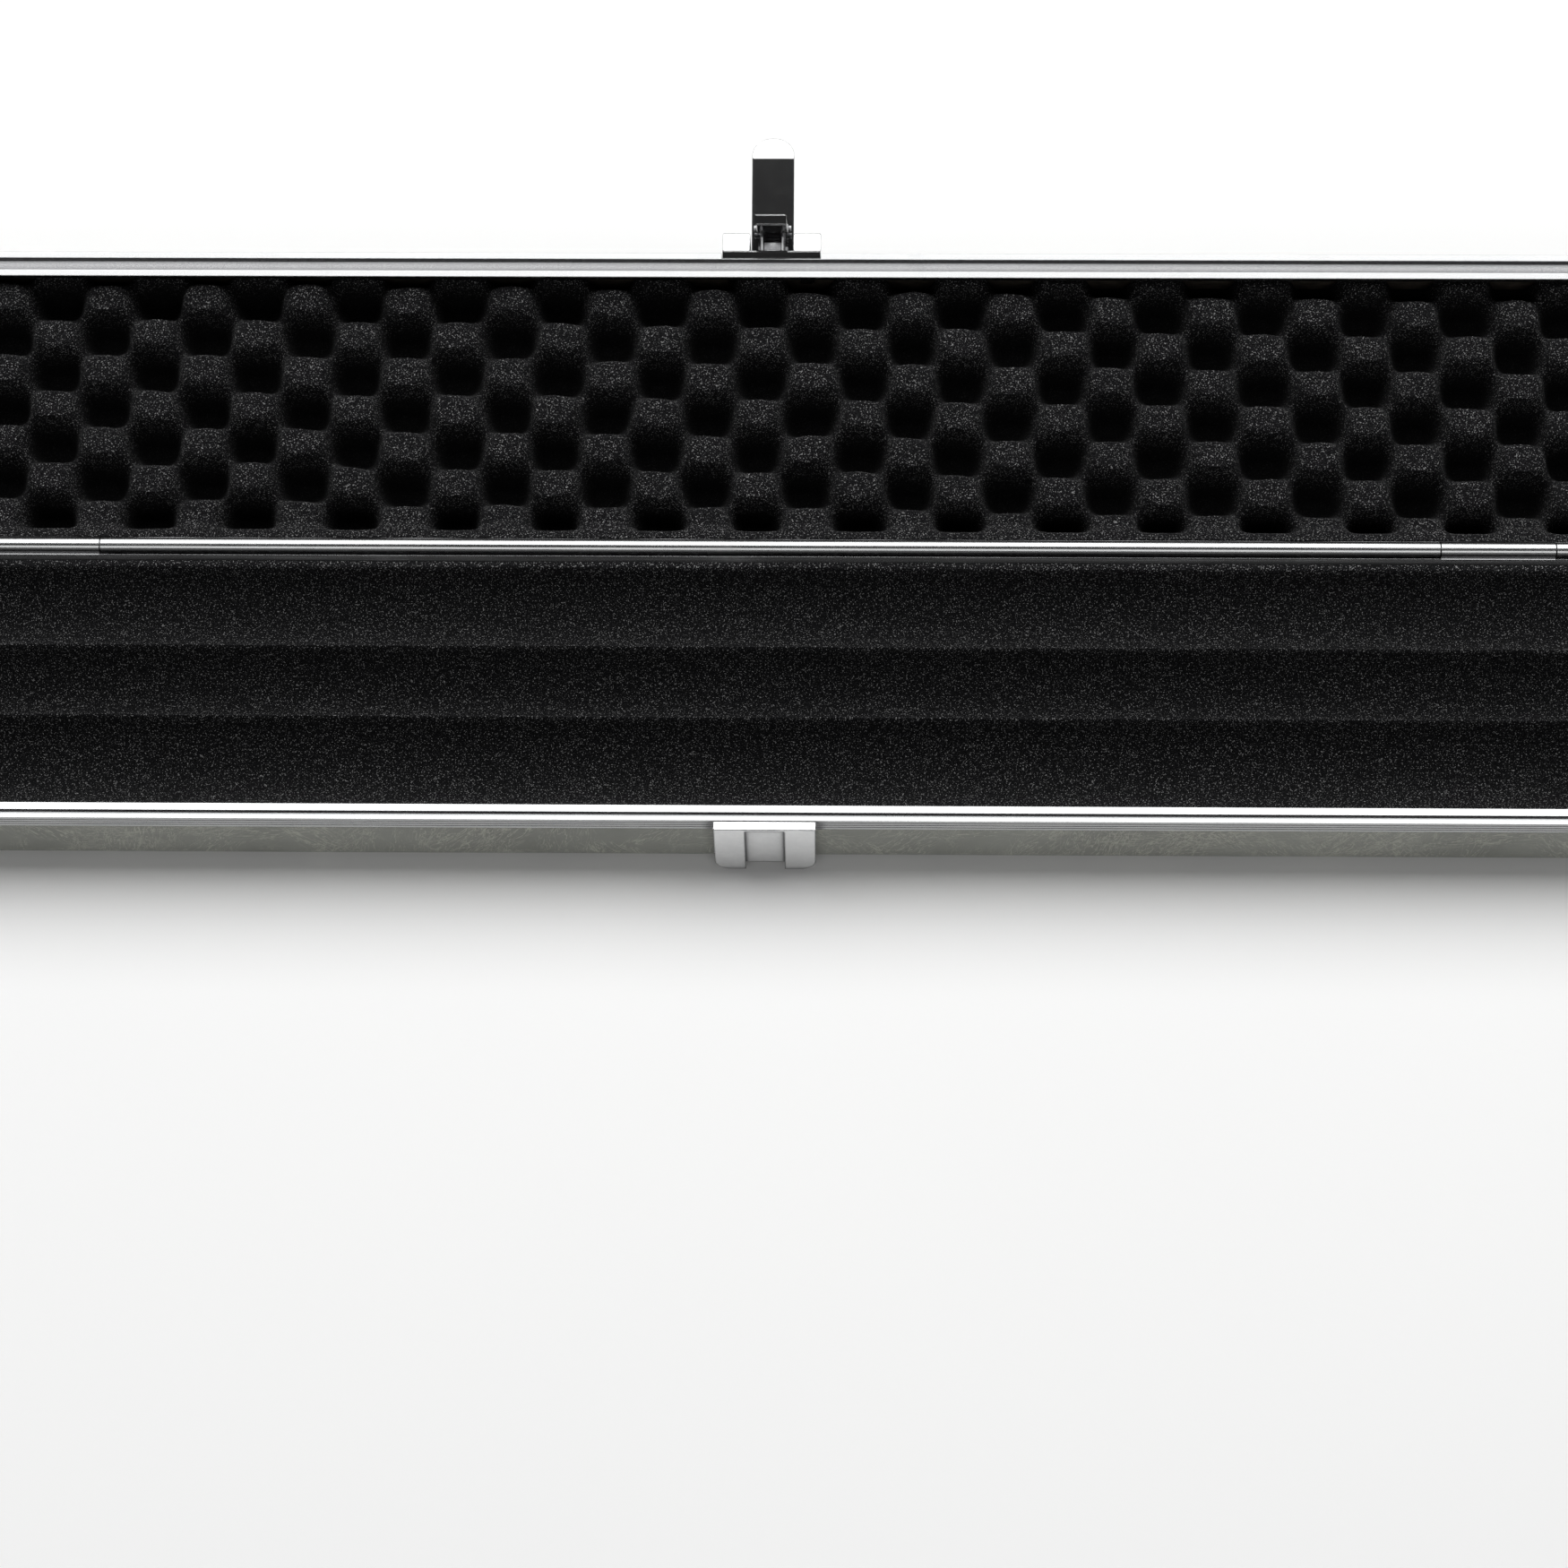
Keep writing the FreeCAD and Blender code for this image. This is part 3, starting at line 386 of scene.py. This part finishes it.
# The section is worked out every SECTION_STEP mm and its ridges are rounded off: by a bell curve
# SOFTNESS mm wide that is cut off after REACH steps.
SECTION_STEP, SOFTNESS, REACH = 0.1, 0.55, 20
section_y = np.arange(foam_low.y, foam_high.y + 0.05 * MM, SECTION_STEP * MM)
section_z = np.zeros_like(section_y)
for middle, half in CHANNELS:
    share = 1 - ((section_y - middle) / half) ** 2
    section_z = np.where(share > 0, -CHANNEL_DEPTH * np.sqrt(np.clip(share, 0, 1)), section_z)
spread = np.exp(-0.5 * (np.arange(-REACH, REACH + 1) * SECTION_STEP / SOFTNESS) ** 2)
section_z = np.convolve(np.pad(section_z, REACH, mode="edge"), spread / spread.sum(),
                        mode="valid")


def base_foam_top(x, y):
    """The level of the lining's face, with slightly wavering channels and an uneven skin."""
    sway = 0.25 * MM * wander(x, y, 0.06, 2.0)
    sunk = float(np.interp(y + sway, section_y, section_z))
    uneven = 0.16 * MM * wander(x, y, 0.018, 5.0) - 0.12 * MM
    return foam_high.z + sunk * ease((CHANNEL_END - abs(x)) / END_SLOPE) + uneven


# points across the face, close together on the ridges and at the channels' outer edges
RIDGES = (12.9 * MM, -12.3 * MM, 41.2 * MM, -42.0 * MM)
RIDGE_ZONE, RIDGE_STEP, PLAIN_STEP = 3 * MM, 0.35 * MM, 1.1 * MM
base_ys = [foam_low.y]
while base_ys[-1] < foam_high.y - 0.5 * MM:
    near = min(abs(base_ys[-1] - ridge) for ridge in RIDGES)
    base_ys.append(base_ys[-1] + (RIDGE_STEP if near < RIDGE_ZONE else PLAIN_STEP))
base_ys[-1] = foam_high.y


def base_ring(x):
    narrow = squeeze(x, foam_high.x, foam_high.y)
    face = [Vector((x, y * narrow, base_foam_top(x, y))) for y in base_ys]
    return face + [Vector((x, y * narrow, foam_low.z)) for y in (foam_high.y, foam_low.y)]


# rings along the case, close together where the channels end and at the rounded corners
base_xs = mirrored(stations((0, CHANNEL_END - 2 * MM, 3.2 * MM),
                            (CHANNEL_END - 2 * MM, CHANNEL_END + 1 * MM, 0.5 * MM),
                            (CHANNEL_END + 1 * MM, foam_high.x - 5 * MM, 2 * MM),
                            (foam_high.x - 5 * MM, foam_high.x, 0.7 * MM)))
lining = swept("base_lining", [[base_ring(x) for x in base_xs]], base_foam)
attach(lining, "base")
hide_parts("base_foam")


# ---- lid lining: convoluted foam, drawn as in the closed case, where it faces down -------

lid_low, lid_high = closed_box("lid_foam")
PEAK_PITCH, ROW_PITCH = 32.4 * MM, 12.1 * MM    # from crown to crown, and from row to row
PEAK_X, PEAK_Y, ROW_SLANT = 3.7 * MM, 3.3 * MM, 0.011   # the pattern's shift and slant
HINGE_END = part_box("lid_hinge_rail")[1].x
HINGE_EDGE, HINGE_TUCK = 28.6 * MM, 4.5 * MM    # the face's level at the hinge, and its run-up
LIP_TUCK = 2.5 * MM                             # the strip tucked under the front and end rails
# the hinge rail's bevel, and the lip that rests on it: (share of its reach, mm off the bevel)
BEVEL_TOP, BEVEL_FALL, BEVEL_WIDTH = 29.0 * MM, 1.3 * MM, 2.3 * MM
LIP_ROOT, LIP_REACH, LIP_TAPER, LIP_BACK = 0.4 * MM, 1.85 * MM, 4 * MM, 29.6 * MM
LIP = ((0.35, 0.4), (0.7, 0.4), (0.95, 0.3), (1.0, 0.1), (0.6, 0.05))


def lid_foam_face(x, y):
    """The level of the lining's face: staggered crowns and pits, all a little irregular."""
    u = x + PEAK_X + 2.0 * MM * wander(x, y, 0.05, 11.0) + 1.3 * MM * wander(x, y, 0.016, 13.0)
    v = (y - PEAK_Y - ROW_SLANT * x + 1.1 * MM * wander(x, y, 0.05, 17.0)
         + 0.6 * MM * wander(x, y, 0.013, 18.0))
    wave = math.cos(2 * math.pi * u / PEAK_PITCH) * math.cos(math.pi * v / ROW_PITCH)
    rise = ease((wave + 0.70) / 1.2)
    level = PIT - (PIT - FACE) * rise * (1 + 0.08 * wander(x, y, 0.03, 19.0))
    level += (HINGE_EDGE - level) * ease((y - lid_high.y + HINGE_TUCK) / HINGE_TUCK)
    tuck = min(1.0, min(lid_high.x - abs(x), y - lid_low.y) / LIP_TUCK)
    return level if tuck >= 1 else max(level, lid_low.z) * (1 - tuck) + level * tuck


lid_ys = stations((lid_low.y, lid_high.y, 1.15 * MM))


def lid_ring(x):
    narrow = squeeze(x, lid_high.x, lid_high.y)
    ring = [Vector((x, y * narrow, lid_foam_face(x, y))) for y in lid_ys]
    reach = LIP_REACH + 0.2 * MM * wander(x, 0, 0.02, 23.0)
    reach *= min(1.0, max(0.0, (HINGE_END - abs(x)) / LIP_TAPER))
    for share, lift in LIP:
        bevel = BEVEL_TOP - BEVEL_FALL * (reach * share) / BEVEL_WIDTH
        edge = (lid_high.y + LIP_ROOT) * narrow + reach * share
        ring.append(Vector((x, edge, bevel - lift * MM)))
    ring.append(Vector((x, lid_high.y * narrow, LIP_BACK)))
    return ring + [Vector((x, y * narrow, lid_high.z)) for y in (lid_high.y, lid_low.y)]


lid_xs = mirrored(stations((0, lid_high.x - 5 * MM, 1.5 * MM),
                           (lid_high.x - 5 * MM, lid_high.x, 0.7 * MM)))
lid_lining = swept("lid_lining", [[lid_ring(x) for x in lid_xs]], lid_foam, OPEN)
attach(lid_lining, "lid")
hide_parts("lid_foam")


# ---- carrying strap: each half bends from its slit in the lid to the lifted middle -------

strap_low, strap_high = closed_box("handle_strap")
strap_end, strap_half, strap_foot = strap_high.x, strap_high.y, strap_low.z
STRAP_THICK = 4.4 * MM
STRAP_KNEE = 56 * MM                    # at rest the strap is level inside this half length
STRAP_LEVEL = 36 * MM                   # and when it is lifted, inside this one
STRAP_FOOT = strap_foot + 1.5 * MM      # the upper face at the slit
END_TAPER, END_NARROW = 8 * MM, 0.9 * MM        # each side draws in by this, over this length
ROOT_WIDTH, ROOT_DEPTH = 4.2 * MM, 4.4 * MM     # the strap's root, which stands in the slit
# The section's points across the strap and down from its face, as a share of its thickness: in
# mm from the edge above and below, and in mm from the seam, which lies in a shallow groove.
UPPER_EDGE = ((0.15, 0.30), (0.7, 0.10), (1.6, 0.03))
LOWER_EDGE = ((0.15, 0.72), (0.8, 0.93), (2.0, 1.0))
SEAM_DEPTH = 0.13
SEAM_GROOVE = ((-0.5, 0.06), (0.0, SEAM_DEPTH), (0.6, 0.07))
SEAM_INSET = 2.9 * MM
STITCH_PITCH, STITCH_LENGTH, STITCH_RADIUS = 4.8 * MM, 3.6 * MM, 0.46 * MM
STITCH_RAISED, STITCH_DIP = 0.22 * MM, 0.25 * MM


def strap_line(x):
    """The level of the strap's upper face at rest, pressed down under the open lid."""
    share = min(1.0, (strap_end - abs(x)) / (strap_end - STRAP_KNEE))
    return STRAP_FOOT + (strap_high.z - STRAP_FOOT) * math.sin(share * math.pi / 2)


def strap_ring(x):
    """The strap's section at x: crowned between two sewn lines, with rolled edges."""
    top = strap_line(x)
    rooted = abs(x) > strap_end - ROOT_WIDTH
    low = strap_foot - ROOT_DEPTH if rooted else max(strap_foot - 0.05 * MM, top - STRAP_THICK)
    half = strap_half - END_NARROW * (1 - min(1.0, (strap_end - abs(x)) / END_TAPER))
    sewn = half - SEAM_INSET
    upper = [(-half + y * MM, down) for y, down in UPPER_EDGE]
    upper += [(-sewn + y * MM, down) for y, down in SEAM_GROOVE]
    upper += [(-sewn * 0.7, 0.01), (-sewn * 0.35, 0.0), (0.0, 0.0)]
    upper += [(-y, down) for y, down in upper[-2::-1]]
    lower = [(half - y * MM, down) for y, down in LOWER_EDGE]
    lower += [(0.0, 1.0)] + [(-y, down) for y, down in lower[::-1]]
    return [Vector((x, y, top - down * (top - low))) for y, down in upper + lower]


def stitch(x, y):
    """One stitch: a slim tapered bead that lies along the strap."""
    rings = []
    for share in (-0.5, -0.42, -0.2, 0.0, 0.2, 0.42, 0.5):
        px = x + share * STITCH_LENGTH
        out = 2 * abs(share)
        swell = STITCH_RADIUS * (1 - out ** 3 * 0.8)
        level = strap_line(px) - SEAM_DEPTH * STRAP_THICK + STITCH_RAISED - out ** 2 * STITCH_DIP
        rings.append([Vector((px, y + swell * math.cos(a), level + swell * math.sin(a)))
                      for a in ROUND])
    return rings


strap_root = strap_end - ROOT_WIDTH
strap_xs = stations((0, strap_root, 1.6 * MM), (strap_root, strap_root + 0.1 * MM, 0.1 * MM),
                    (strap_root + 0.1 * MM, strap_end, 1 * MM))
stitch_xs = np.arange(STITCH_PITCH / 2, strap_end - 3 * MM, STITCH_PITCH)
seam_y = strap_half - SEAM_INSET
for word, side, stands_for in (("left", -1, "handle_strap"), ("right", 1, "handle_core")):
    half_strap = swept(f"strap_{word}", [[strap_ring(side * x) for x in strap_xs]],
                       strap_leather, OPEN)
    stitches = swept(f"stitches_{word}",
                     [stitch(side * x, y) for x in stitch_xs for y in (-seam_y, seam_y)],
                     white_thread, OPEN)
    middle = OPEN @ Vector((side * STRAP_LEVEL, 0, strap_foot))
    for item in (half_strap, stitches):
        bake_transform(item)
    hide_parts(stands_for)


# ---- springs -----------------------------------------------------------------------------

STEPS_PER_TURN = 20
COIL_INSET = 0.3 * MM                   # from the CAD node's box to the middle of the wire
TORSION_TURNS, TORSION_WIRE, TORSION_LEG = 3.75, 0.56 * MM, 2.2 * MM
TORSION_INNER = 4.2 * MM                # from the bracket's middle to each spring's inner end
HAIR_TURNS, HAIR_WIRE, HAIR_LEG = 2.25, 0.5 * MM, 2.5 * MM


def wound(name, node, body, start, end, turns, wire, leg):
    """A helix of round wire with straight legs, from start to end along X, as wide as node,
    which it stands for."""
    low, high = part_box(node)
    centre_y, centre_z = (low.y + high.y) / 2, (low.z + high.z) / 2
    radius = (high.y - low.y) / 2 - COIL_INSET
    line = []
    steps = int(turns * STEPS_PER_TURN)
    for i in range(steps + 1):
        angle = 2 * math.pi * turns * i / steps
        line.append(Vector((start + (end - start) * i / steps,
                            centre_y + radius * math.cos(angle),
                            centre_z + radius * math.sin(angle))))
    head = (line[0] - line[1]).normalized()
    tail = (line[-1] - line[-2]).normalized()
    line = [line[0] + head * leg * s for s in (1.0, 0.5)] + line
    line += [line[-1] + tail * leg * s for s in (0.5, 1.0)]
    rings = []
    for i, point in enumerate(line):
        ahead = (line[min(i + 1, len(line) - 1)] - line[max(i - 1, 0)]).normalized()
        out = ahead.cross(Vector((1, 0, 0))).normalized()
        up = out.cross(ahead)
        rings.append([point + (out * math.cos(a) + up * math.sin(a)) * wire / 2 for a in ROUND])
    spring = swept(name, [rings], steel)
    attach(spring, body)
    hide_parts(node)


for word in ("left", "centre", "right"):
    node = f"latch_springs_{word}"
    low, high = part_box(node)
    middle = (low.x + high.x) / 2
    for letter, side in (("a", -1), ("b", 1)):
        wound(f"torsion_spring_{word}_{letter}", node, "lid", middle + side * TORSION_INNER,
              middle + side * (high.x - middle - COIL_INSET),
              TORSION_TURNS, TORSION_WIRE, TORSION_LEG)
    node = f"claw_spring_{word}"
    low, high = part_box(node)
    wound(f"hair_spring_{word}", node, f"lever_{word}", low.x + COIL_INSET, high.x - COIL_INSET,
          HAIR_TURNS, HAIR_WIRE, HAIR_LEG)


# ---- stage, light and camera -------------------------------------------------------------

FLOOR = 8
floor = mesh_object("floor", [(-FLOOR, -FLOOR, 0), (FLOOR, -FLOOR, 0), (FLOOR, FLOOR, 0),
                              (-FLOOR, FLOOR, 0)], [(0, 1, 2, 3)], paper("paper"), smooth=False)


def softbox(name, centre, aim, width, depth, power):
    light = bpy.data.lights.new(name, "AREA")
    light.shape, light.size, light.size_y, light.energy = "RECTANGLE", width, depth, power
    item = bpy.data.objects.new(name, light)
    item.location = centre
    item.rotation_euler = (Vector(aim) - Vector(centre)).to_track_quat("-Z", "Y").to_euler()
    bpy.context.scene.collection.objects.link(item)


# the overhead light's near edge stays behind what the open levers mirror, so they look dark
softbox("overhead", centre=(0, 1.67, 2.0), aim=(0, 1.67, 0), width=6.0, depth=3.1, power=150)
softbox("fill", centre=(0, -2.2, 1.9), aim=(0, 0, 0), width=4.0, depth=1.2, power=20)

# a dim white room, darkest high up in front of the case, where the open levers look
DARKEST = (0, -0.45, 0.893)
world = bpy.data.worlds.new("studio")
world.use_nodes = True
bpy.context.scene.world = world
tree = world.node_tree
backdrop = tree.nodes["Background"]
where = tree.nodes.new("ShaderNodeTexCoord")
towards = tree.nodes.new("ShaderNodeVectorMath")
towards.operation = "DOT_PRODUCT"
towards.inputs[1].default_value = DARKEST
tree.links.new(where.outputs["Generated"], towards.inputs[0])
fade = tree.nodes.new("ShaderNodeMapRange")
for key, value in (("From Min", 0.35), ("From Max", 0.95), ("To Min", 0.2), ("To Max", 0.02)):
    fade.inputs[key].default_value = value
tree.links.new(towards.outputs["Value"], fade.inputs["Value"])
tree.links.new(fade.outputs[0], backdrop.inputs["Strength"])
backdrop.inputs["Color"].default_value = (1.0, 1.0, 1.0, 1.0)

bpy.context.scene.view_settings.view_transform = "Standard"

ELEVATION, YAW, ROLL = math.radians(61.18), math.radians(1.82), math.radians(-1.336)
TARGET, DISTANCE = Vector((0.00574, -0.03369, 0.023)), 1.2
LENS, SENSOR = 89.7, 36                 # in mm
away = Vector((math.sin(YAW) * math.cos(ELEVATION), -math.cos(YAW) * math.cos(ELEVATION),
               math.sin(ELEVATION)))
right = (-away).cross(Vector((0, 0, 1))).normalized()
up = right.cross(-away)
turned_right = right * math.cos(ROLL) + up * math.sin(ROLL)
turned_up = up * math.cos(ROLL) - right * math.sin(ROLL)
camera = bpy.data.cameras.new("camera")
camera.lens, camera.sensor_width = LENS, SENSOR
viewer = bpy.data.objects.new("camera", camera)
axes = Matrix((turned_right, turned_up, away)).transposed()
viewer.matrix_world = Matrix.Translation(TARGET + away * DISTANCE) @ axes.to_4x4()
bpy.context.scene.collection.objects.link(viewer)
bpy.context.scene.camera = viewer
